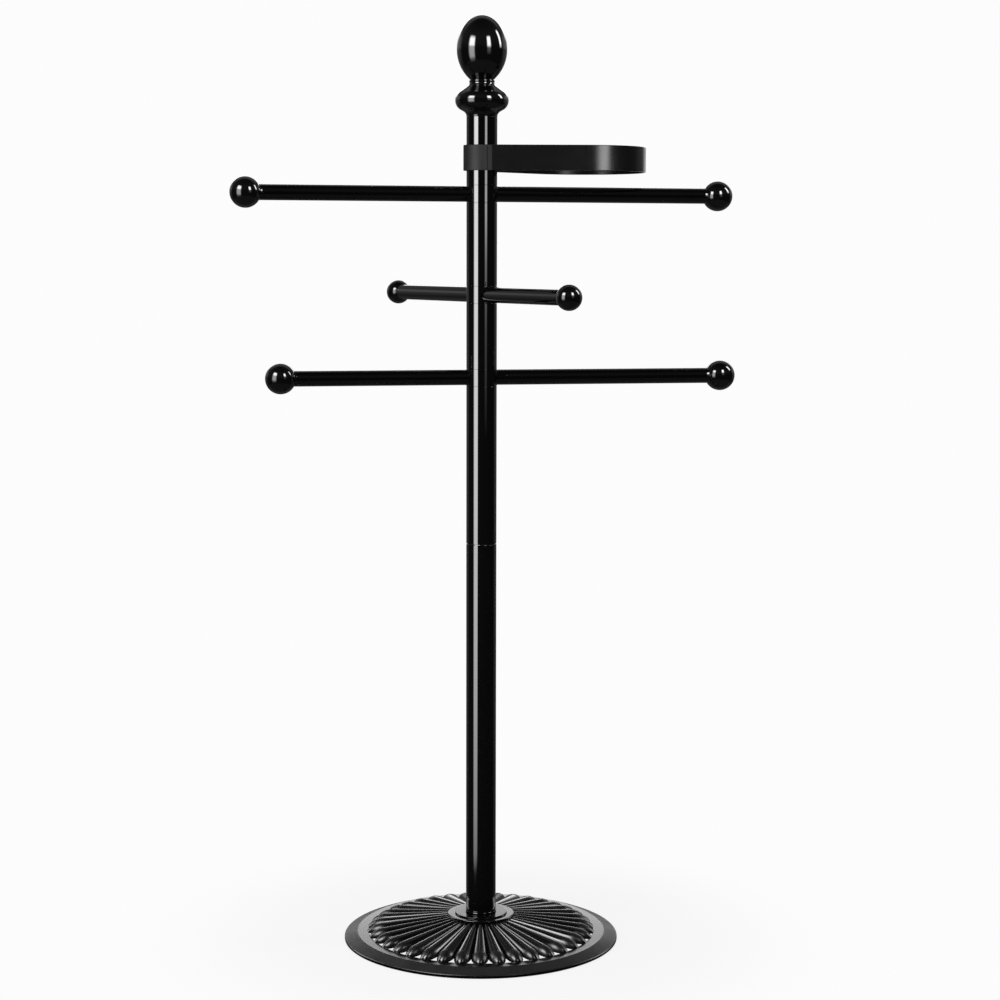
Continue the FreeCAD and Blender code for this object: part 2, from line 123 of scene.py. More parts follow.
def makeMesh(name, points, faces, creaseDegrees=None):
    # Points in mm become a mesh in metres. Doubles are merged, so that seams and poles are closed.
    used, faces = np.unique(faces, return_inverse=True)
    mesh = bpy.data.meshes.new(name)
    mesh.from_pydata((points.reshape(-1, 3)[used] * mm).tolist(), [], faces.reshape(-1, 4).tolist())
    form = bmesh.new()
    form.from_mesh(mesh)
    bmesh.ops.remove_doubles(form, verts=form.verts, dist=mergeDistance)
    bmesh.ops.dissolve_degenerate(form, edges=form.edges, dist=shortestEdge)
    form.to_mesh(mesh)
    form.free()
    mesh.shade_smooth()
    if creaseDegrees:
        mesh.set_sharp_from_angle(angle=math.radians(creaseDegrees))
    piece = bpy.data.objects.new(name, mesh)
    bpy.context.collection.objects.link(piece)
    return piece


def turnedPart(corners, segments, steps=6, support=0.3):
    # points and faces of a closed outline turned round Z
    points = turned(outline(corners, steps, support), segments)
    return points, gridFaces(points.shape[0], segments, closedRows=True)


def makeTurned(name, corners, segments, steps=6, support=0.12):
    return makeMesh(name, *turnedPart(corners, segments, steps, support))


def joined(parts):
    # several grids as one list of points and one of faces
    offsets = np.cumsum([0] + [points.reshape(-1, 3).shape[0] for points, faces in parts])
    points = np.concatenate([points.reshape(-1, 3) for points, faces in parts])
    faces = np.concatenate([faces + offset for (_, faces), offset in zip(parts, offsets)])
    return points, faces


def dress(piece, body, nodes, slotName):
    piece.data.materials.append(slotMaterial[slotName])
    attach(piece, body)
    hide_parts(*nodes)
    return piece


def newMaterial(name, **sockets):
    material = bpy.data.materials.new(name)
    material.use_nodes = True
    shader = material.node_tree.nodes["Principled BSDF"]
    for socket, value in sockets.items():
        shader.inputs[socket.replace("_", " ")].default_value = value
    return material, material.node_tree.nodes, material.node_tree.links, shader


def addNode(nodes, kind, inputs=None, **settings):
    node = nodes.new(kind)
    for key, value in settings.items():
        setattr(node, key, value)
    for key, value in (inputs or {}).items():
        node.inputs[key].default_value = value
    return node


def addMath(nodes, links, operation, first, second):
    # a Math node of two values, each a socket or a number
    node = addNode(nodes, "ShaderNodeMath", operation=operation)
    for place, value in enumerate((first, second)):
        if isinstance(value, (int, float)):
            node.inputs[place].default_value = value
        else:
            links.new(value, node.inputs[place])
    return node.outputs["Value"]


def addDistance(nodes, links, coordinates):
    # distance from the Z axis
    flat = addNode(nodes, "ShaderNodeVectorMath", {1: (1, 1, 0)}, operation="MULTIPLY")
    links.new(coordinates.outputs["Object"], flat.inputs[0])
    radius = addNode(nodes, "ShaderNodeVectorMath", operation="LENGTH")
    links.new(flat.outputs["Vector"], radius.inputs[0])
    return radius.outputs["Value"]


def addNoise(nodes, links, cellsPerMetre, detail, coordinates=None):
    # noise on Object coordinates
    coordinates = coordinates or addNode(nodes, "ShaderNodeTexCoord")
    noise = addNode(nodes, "ShaderNodeTexNoise", {"Scale": cellsPerMetre, "Detail": detail})
    links.new(coordinates.outputs["Object"], noise.inputs["Vector"])
    return noise.outputs["Fac"]


def addRange(nodes, links, source, low, high, toLow, toHigh, smooth=False):
    # the source's range from low to high, spread from toLow to toHigh and held there outside
    limits = {"From Min": low, "From Max": high, "To Min": toLow, "To Max": toHigh}
    way = "SMOOTHSTEP" if smooth else "LINEAR"
    ranged = addNode(nodes, "ShaderNodeMapRange", limits, interpolation_type=way)
    links.new(source, ranged.inputs["Value"])
    return ranged.outputs["Result"]


def addRamp(nodes, links, source, marks, scale=1.0):
    # a level that runs straight from mark to mark, each (value of the source, level); levels are kept
    # as shares of the scale
    low, high = marks[0][0], marks[-1][0]
    ramp = addNode(nodes, "ShaderNodeValToRGB")
    links.new(addRange(nodes, links, source, low, high, 0.0, 1.0), ramp.inputs["Fac"])
    stops = ramp.color_ramp.elements
    for place, level in marks:
        if place == low:
            stop = stops[0]
        elif place == high:
            stop = stops[-1]
        else:
            stop = stops.new((place - low) / (high - low))
        stop.color = (level / scale, level / scale, level / scale, 1)
    return addMath(nodes, links, "MULTIPLY", ramp.outputs["Color"], scale)


def addBump(nodes, links, shader, heights, distance, strength=1.0):
    bump = addNode(nodes, "ShaderNodeBump", {"Strength": strength, "Distance": distance})
    links.new(heights, bump.inputs["Height"])
    links.new(bump.outputs["Normal"], shader.inputs["Normal"])


# Noise lies mostly within this span, so a roughness is spread from there. A slight change is a share of
# that roughness.
noiseSpan = (0.3, 0.7)
slightChange = (0.85, 1.15)
paintIor = 1.5
coat = {"Coat_Weight": 1.0, "Coat_IOR": paintIor, "Coat_Roughness": 0.03}
enamel = {"color": (0.0018, 0.0018, 0.002, 1), "roughness": (0.03, 0.08), "patchCells": 38.0,
          "patchSpan": (0.35, 0.75), "peelCells": 420.0, "peelHeight": 0.000004}


def glossEnamel():
    # poured black enamel: a mirror with a faint orange peel and patches that are slightly duller
    sockets = dict(coat, Base_Color=enamel["color"], IOR=paintIor)
    material, nodes, links, shader = newMaterial("glossEnamel", **sockets)
    patches = addNoise(nodes, links, enamel["patchCells"], detail=4.0)
    dull = addRange(nodes, links, patches, *enamel["patchSpan"], *enamel["roughness"])
    links.new(dull, shader.inputs["Roughness"])
    peel = addNoise(nodes, links, enamel["peelCells"], detail=2.0)
    addBump(nodes, links, shader, peel, enamel["peelHeight"])
    return material


strip = {"color": (0.005, 0.005, 0.0053, 1), "roughness": (0.19, 0.25), "patchCells": 45.0,
         "grainCells": 900.0, "grainHeight": 0.00001, "wrapRadius": 19.5, "wrapEnd": 1.06,
         "wrapDull": 0.36}


def satinEnamel():
    # satin paint on the towel loop: a fine, even grain over slow changes of gloss, and duller where it
    # is bent round the post
    material, nodes, links, shader = newMaterial("satinEnamel", Base_Color=strip["color"], IOR=paintIor)
    patches = addNoise(nodes, links, strip["patchCells"], detail=3.0)
    dull = addRange(nodes, links, patches, *noiseSpan, *strip["roughness"])
    fromPost = addDistance(nodes, links, addNode(nodes, "ShaderNodeTexCoord"))
    wrap = strip["wrapRadius"] * mm
    rubbed = addRange(nodes, links, fromPost, wrap, wrap * strip["wrapEnd"], strip["wrapDull"], 0.0, True)
    links.new(addMath(nodes, links, "ADD", dull, rubbed), shader.inputs["Roughness"])
    grain = addNoise(nodes, links, strip["grainCells"], detail=3.0)
    addBump(nodes, links, shader, grain, strip["grainHeight"])
    return material


plating = {"patchCells": 160.0, "patchHeight": 0.00001, "patchStrength": 0.4, "change": (0.75, 1.3),
           "ringWander": 0.4, "ringHeight": 0.00002, "ringStrength": 0.5}


def steel(name, color, roughness, ringsPerMetre=0.0):
    # plated steel with a cloudy gloss; turned pieces have fine tool rings across Z
    material, nodes, links, shader = newMaterial(name, Base_Color=color, Metallic=1.0)
    patches = addNoise(nodes, links, plating["patchCells"], detail=5.0)
    least, most = plating["change"]
    dull = addRange(nodes, links, patches, *noiseSpan, roughness * least, roughness * most)
    links.new(dull, shader.inputs["Roughness"])
    if ringsPerMetre:
        coordinates = addNode(nodes, "ShaderNodeTexCoord")
        rows = {"Scale": ringsPerMetre, "Distortion": plating["ringWander"]}
        rings = addNode(nodes, "ShaderNodeTexWave", rows, bands_direction="Z")
        links.new(coordinates.outputs["Object"], rings.inputs["Vector"])
        addBump(nodes, links, shader, rings.outputs["Fac"], plating["ringHeight"], plating["ringStrength"])
    else:
        addBump(nodes, links, shader, patches, plating["patchHeight"], plating["patchStrength"])
    return material


def moulded(name, color, roughness, cellsPerMetre, grainHeight):
    # rubber and nylon: a matt body with a fine moulded grain
    material, nodes, links, shader = newMaterial(name, Base_Color=color)
    grain = addNoise(nodes, links, cellsPerMetre, detail=4.0)
    least, most = slightChange
    dull = addRange(nodes, links, grain, *noiseSpan, roughness * least, roughness * most)
    links.new(dull, shader.inputs["Roughness"])
    addBump(nodes, links, shader, grain, grainHeight)
    return material


# Roughness of the casting by the distance from the post, in mm: the hub, the ribs and the flat ring are
# smooth, the ribs' noses duller, and the sloped rim keeps most of the casting's grain.
castFinish = {
    "color": (0.0018, 0.0018, 0.002, 1),
    "roughness": ((0, 0.16), (36, 0.16), (44, 0.12), (101, 0.12), (107, 0.3), (118, 0.3), (120, 0.16),
                  (130.5, 0.16), (132, 0.42), (143, 0.42), (146, 0.2)),
    "patchCells": 30.0, "grainCells": 520.0, "grainHeight": 0.000003}


def castEnamel():
    material, nodes, links, shader = newMaterial("castEnamel", Base_Color=castFinish["color"], IOR=paintIor)
    coordinates = addNode(nodes, "ShaderNodeTexCoord")
    fromPost = addDistance(nodes, links, coordinates)
    turnedOrCast = addRamp(nodes, links, fromPost, [(r * mm, dull) for r, dull in castFinish["roughness"]])
    patches = addNoise(nodes, links, castFinish["patchCells"], detail=4.0, coordinates=coordinates)
    change = addRange(nodes, links, patches, *noiseSpan, *slightChange)
    links.new(addMath(nodes, links, "MULTIPLY", turnedOrCast, change), shader.inputs["Roughness"])
    grain = addNoise(nodes, links, castFinish["grainCells"], detail=4.0, coordinates=coordinates)
    addBump(nodes, links, shader, grain, castFinish["grainHeight"])
    return material


slotMaterial = {
    "gloss_black": glossEnamel(),
    "band_black": satinEnamel(),
    "cast_black": castEnamel(),
    "zinc_steel": steel("zincPlate", color=(0.62, 0.62, 0.6, 1), roughness=0.32),
    "turned_steel": steel("turnedSteel", color=(0.5, 0.5, 0.49, 1), roughness=0.28, ringsPerMetre=900.0),
    "black_screw": steel("blackedSteel", color=(0.03, 0.03, 0.032, 1), roughness=0.35),
    "nylon": moulded("nylonWasher", color=(0.82, 0.8, 0.74, 1), roughness=0.5, cellsPerMetre=700.0,
                     grainHeight=0.00001),
    "floor_rubber": moulded("floorRubber", color=(0.018, 0.018, 0.018, 1), roughness=0.75,
                            cellsPerMetre=1300.0, grainHeight=0.00004)}
for subpart in frame["record"]["subparts"]:
    for place in frame["nodes"][subpart["node"]].material_slots:
        place.material = slotMaterial[subpart["material_slot"]]
print("materials made")

# The panels light these groups of pieces apart.
columnPieces, rods, roundPieces, castPieces = [], [], [], []
loopPieces = [frame["nodes"]["towel_band"]]

post = {"radius": 15.875, "wall": 1.5, "rodBore": 4.1, "seamGap": 0.06, "edge": 0.1,
        "plainSeam": 0.3, "plainEdge": 0.45, "segments": 160, "edgeSteps": 5, "support": 0.3}
columnBodies = {"lower_post_tube": "root", "middle_post_tube": "root", "bottom_collar": "bottom_arms",
                "lower_spacer_tube": "root", "middle_collar": "middle_arms", "upper_spacer_tube": "root",
                "top_collar": "top_arms", "band_spacer_tube": "root", "neck_tube": "root"}


def makeColumn():
    # Each section is a ring with softened edges, grown into the seams until they are hairlines. The seam
    # in the middle of the post stays as open as it is, with a larger softening.
    for node, body in columnBodies.items():
        low, high = nodeBox(node)
        grow = (post["plainSeam"] - post["seamGap"]) / 2
        tube = node.endswith("tube")
        bore = post["radius"] - post["wall"] if tube else post["rodBore"]
        bottom, top = low[2] - grow, high[2] + grow
        bottomEdge = topEdge = post["edge"]
        if node == "lower_post_tube":
            bottom, top, topEdge = low[2], high[2], post["plainEdge"]
        if node == "middle_post_tube":
            bottom, bottomEdge = low[2], post["plainEdge"]
        if node == "neck_tube":
            top = high[2]
        section = makeTurned(node + ".section", [
            (bore, bottom, post["edge"]), (post["radius"], bottom, bottomEdge),
            (post["radius"], top, topEdge), (bore, top, post["edge"])],
            post["segments"], post["edgeSteps"], post["support"])
        columnPieces.append(dress(section, body, [node], "gloss_black"))


makeColumn()

arm = {"radius": 8.0, "wall": 1.5, "gap": 0.05, "fillet": 0.7, "tipEdge": 0.12, "plainEnd": 12.0,
       "neck": 2.4, "neckEdge": 0.12, "ballFillet": 0.35, "studBore": 3.05, "studDepth": 9.05,
       "segments": 96, "edgeSteps": 5, "filletSteps": 6, "ballSteps": 64, "tubeCrease": 50, "ballCrease": 60}


def ballPlace(node):
    # A ball's radius, and its centre as reach, yaw and height: the sides of its box that look away from
    # the post are those of the ball.
    low, high = nodeBox(node)
    radius = (high[2] - low[2]) / 2
    middle = (low + high) / 2
    x, y, _ = np.where(middle > 0, high - radius, low + radius)
    return radius, math.hypot(x, y), math.degrees(math.atan2(y, x)), middle[2]


def armSurface(neck):
    # A tube along X whose root follows the post: x = sqrt(R^2 - y^2) + d. Within the fillet its radius
    # grows by f - sqrt(f^2 - (f - d)^2), a quarter of a circle. Rows run from the tip to the root outside
    # and back inside.
    fillet, edge = arm["fillet"], arm["tipEdge"]
    radius, bore = arm["radius"], arm["radius"] - arm["wall"]
    root = post["radius"] + arm["gap"]
    tip = neck - arm["gap"]
    angle = np.linspace(0, 2 * math.pi, arm["segments"], endpoint=False)
    curl = np.linspace(0, math.pi / 2, arm["filletSteps"])
    tipTurn = np.linspace(math.pi / 2, 0, arm["edgeSteps"])

    def plainRows(x, r):
        x, r = np.asarray(x)[:, None], np.asarray(r)[:, None]
        return np.stack([x + 0 * angle, r * np.cos(angle), r * np.sin(angle)], -1)

    def rootRows(d, r):
        d, r = np.asarray(d)[:, None], np.asarray(r)[:, None]
        y = r * np.cos(angle)
        return np.stack([np.sqrt(root ** 2 - y ** 2) + d, y, r * np.sin(angle)], -1)

    tipX = [*(tip - edge + edge * np.sin(tipTurn)), tip - 3 * edge, tip - arm["plainEnd"]]
    tipR = [*(radius - edge + edge * np.cos(tipTurn)), radius, radius]
    rootD = [arm["plainEnd"], 2.5 * fillet, *(fillet * (1 - np.sin(curl))), 0.0]
    rootR = [radius, radius, *(radius + fillet * (1 - np.cos(curl))), bore]
    return np.concatenate([plainRows(tipX, tipR), rootRows(rootD, rootR), plainRows([tip], [bore])])


def ballSurface(radius, neck):
    # Profile (r, x) of neck and ball, to be turned: a sphere r = sqrt(R^2 - x^2), joined to the neck by a
    # small concave fillet that touches both, and a blind hole for the stud.
    fillet, edge, side = arm["ballFillet"], arm["neckEdge"], arm["radius"]
    # the fillet's centre is a fillet outside the neck and a radius and a fillet from the ball's centre
    filletX = -math.sqrt((radius + fillet) ** 2 - (side + fillet) ** 2)
    lean = math.atan2(side + fillet, -filletX)
    sphereTurn = np.linspace(math.pi - lean, 0, arm["ballSteps"])
    filletTurn = np.linspace(-math.pi / 2, -lean, arm["filletSteps"])
    edgeTurn = np.linspace(math.pi, math.pi / 2, arm["edgeSteps"])
    holeEnd = -neck + arm["studDepth"]
    profile = np.concatenate([
        [[holeEnd, 0.0], [holeEnd, arm["studBore"]], [-neck, arm["studBore"]]],
        np.stack([-neck + edge + edge * np.cos(edgeTurn), side - edge + edge * np.sin(edgeTurn)], 1),
        np.stack([filletX + fillet * np.sin(filletTurn + math.pi / 2),
                  side + fillet - fillet * np.cos(filletTurn + math.pi / 2)], 1),
        np.stack([radius * np.cos(sphereTurn), radius * np.sin(sphereTurn)], 1)])
    return profile[:, ::-1]


def makeTier(tier):
    for side in ("left", "right"):
        ballNode, armNode = tier + "_" + side + "_ball", tier + "_" + side + "_arm"
        radius, reach, yaw, height = ballPlace(ballNode)
        neck = math.sqrt(radius ** 2 - arm["radius"] ** 2) + arm["neck"]
        points = swivelled(armSurface(reach - neck), yaw) + [0, 0, height]
        # this outline runs clockwise, so its faces are turned over
        faces = gridFaces(*points.shape[:2], closedRows=True)[:, ::-1]
        tube = makeMesh(armNode + ".tube", points, faces, arm["tubeCrease"])
        dress(tube, tier + "_arms", [armNode], "gloss_black")
        rods.append(tube)
        points = alongX(turned(ballSurface(radius, neck), arm["segments"])) + [reach, 0, 0]
        points = swivelled(points, yaw) + [0, 0, height]
        ball = makeMesh(ballNode + ".turned", points, gridFaces(*points.shape[:2]), arm["ballCrease"])
        dress(ball, tier + "_arms", [ballNode], "gloss_black")
        roundPieces.append(ball)


for tierName in ("top", "middle", "bottom"):
    makeTier(tierName)
print("post and arms made")


finial = {"coveHeight": 3.7, "coveRounding": 6.0, "undersideRise": 6.5, "bulgeRadius": 27.4,
          "bulgeHeight": 12.0, "bulgeRounding": 10.4, "flareRise": 10.1, "flareRounding": 4.4,
          "neckRadius": 12.9, "spigot": 10.0, "plugRadius": 14.325, "pocketRadius": 9.0, "pocketDepth": 12.0,
          "eggRadius": 25.8, "widest": 32.9, "topRise": 35.0, "lowerRadius": 39.8, "lowerDrop": 26.5,
          "beadHeight": 2.6, "beadProud": 0.25, "grooveDepth": 0.8, "threadBore": 4.05, "threadDepth": 18.0,
          "threadStart": 0.05, "seam": 0.02, "segments": 160, "arcSteps": 18, "support": 0.02,
          "lowerSteps": 40, "upperSteps": 60, "beadSteps": 12, "crease": 60}


def makeFinial():
    neckTop = nodeBox("neck_tube")[1][2]
    ringTop = nodeBox("finial_ring")[1][2]
    f = finial
    bulgeBottom = neckTop + f["coveHeight"] + f["undersideRise"]
    bulgeTop = bulgeBottom + f["bulgeHeight"]
    ring = makeTurned("finialRing", [
        (post["rodBore"], neckTop - f["spigot"], 0.1),
        (f["plugRadius"], neckTop - f["spigot"], 0.3),
        (f["plugRadius"], neckTop + f["seam"], 0.01),
        (post["radius"], neckTop + f["seam"], 0.15),
        (post["radius"], neckTop + f["coveHeight"], f["coveRounding"]),
        (f["bulgeRadius"], bulgeBottom, f["bulgeRounding"]),
        (f["bulgeRadius"], bulgeTop, f["bulgeRounding"]),
        (f["neckRadius"], bulgeTop + f["flareRise"], f["flareRounding"]),
        (f["neckRadius"], ringTop, 0.25),
        (f["pocketRadius"], ringTop, 0.2),
        (f["pocketRadius"], ringTop - f["pocketDepth"], 0.2),
        (post["rodBore"], ringTop - f["pocketDepth"], 0.1)], f["segments"], f["arcSteps"], f["support"])
    dress(ring, "root", ["finial_ring"], "gloss_black")
    # The egg: a half round bead, a straight run, an arc of a circle below its widest place and half an
    # ellipse above it: r = R cos t, z = widest + rise sin t.
    drop = math.asin(f["lowerDrop"] / f["lowerRadius"])
    low = np.linspace(drop, 0, f["lowerSteps"])
    up = np.linspace(0, math.pi / 2, f["upperSteps"])[1:]
    bead = np.linspace(-math.pi / 2, math.pi / 2, f["beadSteps"])
    beadRadius = f["neckRadius"] - f["grooveDepth"]
    profile = np.concatenate([
        [[0, f["threadDepth"]], [f["threadBore"], f["threadDepth"]], [f["threadBore"], f["threadStart"]]],
        np.stack([beadRadius + (f["grooveDepth"] + f["beadProud"]) * np.cos(bead),
                  f["beadHeight"] / 2 * (1 + np.sin(bead)) + f["seam"]], 1),
        np.stack([f["eggRadius"] - f["lowerRadius"] * (1 - np.cos(low)),
                  f["widest"] - f["lowerRadius"] * np.sin(low)], 1),
        np.stack([f["eggRadius"] * np.cos(up), f["widest"] + f["topRise"] * np.sin(up)], 1)])
    points = turned(profile, f["segments"]) + [0, 0, ringTop]
    egg = makeMesh("finialEgg", points, gridFaces(*points.shape[:2]), f["crease"])
    dress(egg, "root", ["finial_egg"], "gloss_black")
    roundPieces.extend([ring, egg])


makeFinial()
print("finial made")


# The casting: the ends of a rib's middle line and the hollow's roof are (r, z) in mm.
base = {"ribs": 38, "ribShare": 1.04, "ribStart": (30.2, 22.6), "ribShoulder": (104.0, 8.3),
        "tipRadius": 122.0, "tipBluntness": 5.0, "roofStart": (30.2, 19.6), "roofEnd": (119.5, 7.4),
        "hubRadius": 35.2, "hubTop": 26.5, "hubEdge": 0.9, "bossRadius": 15.0, "bossBottom": 14.0,
        "ringInner": 119.5, "ringOuter": 131.0, "ringTop": 8.7, "wall": 3.2, "footWidth": 9.0,
        "rimRadius": 145.0, "rimTop": 3.9, "rimBottom": 1.0, "rimRounding": 1.3,
        "grooveOuter": 143.0, "grooveInner": 138.0, "grooveTop": 2.5,
        "straightRows": 9, "touchingNoseRows": 3, "noseRows": 20, "noseSearch": 2001, "arcColumns": 19,
        "wallColumns": 3, "arcShare": 0.97, "hubSegments": 192, "ringSegments": 256, "ringSupport": 0.15,
        "crease": 50}
roofSlope = (base["roofStart"][1] - base["roofEnd"][1]) / (base["roofEnd"][0] - base["roofStart"][0])


def roof(r):
    # height of the hollow's roof: a cone that ends level under the ring
    return np.maximum(base["roofStart"][1] - roofSlope * (r - base["roofStart"][0]), base["roofEnd"][1])


def ribGrid():
    # One rib along X is a round bar whose half width w grows with the radius and ends in a Bezier nose:
    # P(u, f) = start + u a + w(u) (sin f b + cos f n), with a along the bar, b sideways and n upwards.
    # Neighbours meet in the plane y = x tan(pi / ribs). Past the row where they part, each bar goes on
    # down to the hollow's roof. The rows run out over the top and back along the roof.
    start, shoulder = np.array(base["ribStart"]), np.array(base["ribShoulder"])
    run = shoulder - start
    length = np.linalg.norm(run)
    cosTilt, sinTilt = run[0] / length, -run[1] / length
    spread = math.sin(math.pi / base["ribs"]) * base["ribShare"]
    tanHalf = math.tan(math.pi / base["ribs"])
    root, end = np.array([0, start[0] * spread]), np.array([length, shoulder[0] * spread])
    tip = length * (base["tipRadius"] - start[0]) / run[0]
    straightOn = end + unit(end - root) * (tip - length) / 2
    poles = np.stack([end, straightOn, [tip, base["tipBluntness"]], [tip, 0]])

    def nose(t):
        t = np.asarray(t)[:, None]
        return ((1 - t) ** 3 * poles[0] + 3 * (1 - t) ** 2 * t * poles[1] + 3 * (1 - t) * t ** 2 * poles[2]
                + t ** 3 * poles[3])

    # how far a bar is from parting with its neighbour: 0 at the row where they part
    lean = math.atan(sinTilt * tanHalf)
    fine = np.linspace(0, 1, base["noseSearch"])
    along, width = nose(fine).T
    contact = (start[0] + along * cosTilt) * tanHalf * math.cos(lean)
    parting = np.interp(0, contact - width, fine)
    before = np.linspace(0, parting, base["touchingNoseRows"] + 1)[1:]
    after = parting + (1 - parting) * np.sin(np.linspace(0, math.pi / 2, base["noseRows"]))[1:]
    straight = root + (end - root) * np.linspace(0, 1, base["straightRows"])[:, None]
    u, w = np.concatenate([straight, nose(np.concatenate([before, after]))]).T[:, :, None]
    lastClosed = base["straightRows"] + len(before) - 1
    isOpen = (np.arange(len(u)) > lastClosed)[:, None]
    axisX, axisZ = start[0] + u * cosTilt, start[1] - u * sinTilt
    # half widths to divide by, never 0
    wide = np.maximum(w, 1e-6)
    meet = lean + np.arcsin(np.clip(axisX * tanHalf * math.cos(lean) / wide, -1, 1))
    land = np.arccos(np.clip((roof(axisX) - axisZ) / (wide * (cosTilt + roofSlope * sinTilt)), -1, 1))
    arcEnd = np.where(isOpen, land * base["arcShare"], meet)
    across = np.linspace(-1, 1, base["arcColumns"])[None, :]
    down = np.linspace(0, 1, base["wallColumns"] + 1)[None, 1:]
    angle = np.concatenate([-(arcEnd + (land - arcEnd) * down[:, ::-1]), arcEnd * across,
                            arcEnd + (land - arcEnd) * down], 1)
    x = axisX + w * np.cos(angle) * sinTilt
    y = w * np.sin(angle)
    z = axisZ + w * np.cos(angle) * cosTilt
    # between two bars that touch, the side stands straight down from where they meet
    side = base["wallColumns"]
    edgeX, edgeZ = x[:, side][:, None], z[:, side][:, None]
    stand = edgeZ + (roof(edgeX) - edgeZ) * down
    walled = np.zeros(x.shape[1], bool)
    walled[:side] = walled[-side:] = True
    outermost = walled.copy()
    outermost[side] = outermost[-side - 1] = True
    x = np.where(~isOpen & walled, edgeX, x)
    y = np.where(~isOpen & outermost, np.sign(angle) * x * tanHalf, y)
    upright = np.concatenate([stand[:, ::-1], 0 * arcEnd * across, stand], 1)
    z = np.where(~isOpen & walled, upright, z)
    z = np.maximum(z, roof(x))
    top = np.stack([x, y, z], -1)
    share = np.clip(np.concatenate([-1 + 0 * down, across, 1 + 0 * down], 1), -1, 1)
    under = np.stack([x[:, -1:] + 0 * share, y[:, -1:] * share, roof(x[:, -1:]) + 0 * share], -1)
    points = np.concatenate([top, under[::-1]])
    rows, columns = points.shape[:2]
    faces = gridFaces(rows, columns, closedRows=True, closedColumns=False).reshape(rows, columns - 1, 4)
    keep = np.ones((rows, columns - 1), bool)
    keep[:, :side] = keep[:, -side:] = False
    keep[lastClosed:len(u) - 1] = True
    return points, faces[keep][:, ::-1]


def makeBase():
    b = base
    rib, ribFaces = ribGrid()
    # one rib points at the viewer
    places = [(swivelled(rib, 360 / b["ribs"] * place - 90), ribFaces) for place in range(b["ribs"])]
    hub = turnedPart([
        (post["rodBore"], b["bossBottom"], 0.2), (b["bossRadius"], b["bossBottom"], 0.6),
        (b["bossRadius"], b["roofStart"][1], 1.2), (b["roofStart"][0], b["roofStart"][1], 0.5),
        (b["hubRadius"], roof(b["hubRadius"]), 0.3), (b["hubRadius"], b["hubTop"], b["hubEdge"]),
        (post["rodBore"], b["hubTop"], 0.3)], b["hubSegments"])
    underside = b["ringTop"] - b["wall"]
    foot = b["rimRadius"] - b["footWidth"]
    rimSlope = (b["ringTop"] - b["rimTop"]) / (b["rimRadius"] - b["ringOuter"])
    footTop = underside - rimSlope * (foot - b["ringOuter"])
    ring = turnedPart([
        (b["ringInner"], underside, 0.3), (b["ringOuter"], underside, 0.8), (foot, footTop, 0.6),
        (foot, b["rimBottom"], 0.3), (b["grooveInner"], b["rimBottom"], 0.15),
        (b["grooveInner"], b["grooveTop"], 0.15), (b["grooveOuter"], b["grooveTop"], 0.15),
        (b["grooveOuter"], b["rimBottom"], 0.15), (b["rimRadius"], b["rimBottom"], 0.4),
        (b["rimRadius"], b["rimTop"], b["rimRounding"]), (b["ringOuter"], b["ringTop"], 0.5),
        (b["ringInner"], b["ringTop"], 0.5)], b["ringSegments"], support=b["ringSupport"])
    casting = makeMesh("ribbedBase", *joined(places + [hub, ring]), b["crease"])
    castPieces.append(dress(casting, "root", ["base_casting"], "cast_black"))


makeBase()

seat = {"segments": 192, "beadSegments": 160, "beadSteps": 9, "beadSupport": 0.02, "beadGap": 0.06,
        "beadRoundness": 0.97}


def makeFoot():
    low, high = nodeBox("seat_disc")
    edge = high[0]
    disc = makeTurned("seatDisc", [
        (post["rodBore"], low[2], 0.1), (edge, low[2], 0.1), (edge, high[2], 0.5),
        (post["rodBore"], high[2], 0.1)], seat["segments"])
    dress(disc, "root", ["seat_disc"], "cast_black")
    low, high = nodeBox("foot_bead")
    bore = post["radius"] - post["wall"]
    top = high[2] - seat["beadGap"]
    rounding = (top - low[2]) / 2 * seat["beadRoundness"]
    bead = makeTurned("footBead", [
        (bore, low[2], 0.1), (high[0], low[2], rounding), (high[0], top, rounding), (bore, top, 0.1)],
        seat["beadSegments"], seat["beadSteps"], seat["beadSupport"])
    dress(bead, "root", ["foot_bead"], "gloss_black")
    low, high = nodeBox("floor_ring")
    inner = base["grooveInner"] + base["grooveOuter"] - high[0]
    ring = makeTurned("rubberRing", [
        (inner, low[2], 0.7), (high[0], low[2], 0.7), (high[0], high[2], 0.3), (inner, high[2], 0.3)],
        seat["segments"])
    dress(ring, "root", ["floor_ring"], "floor_rubber")


makeFoot()

hardware = {"acrossFlats": 13.0, "chamferRadius": 6.1, "chamferSlope": 0.5774, "nutBore": 4.05,
            "boreChamfer": 0.4, "threadPitch": 1.25, "threadDepth": 0.68, "threadLength": 12.0,
            "threadFade": 2, "threadRunout": 1, "rowsPerPitch": 8, "rodChamfer": 0.9, "washerRounding": 0.25,
            "segments": 120, "nutCrease": 30, "rodCrease": 60}


def hexRadius(angle, acrossFlats):
    # distance to a hexagon's side: apothem / cos of the angle from the middle of the side
    return acrossFlats / 2 / np.cos((angle + math.pi / 6) % (math.pi / 3) - math.pi / 6)


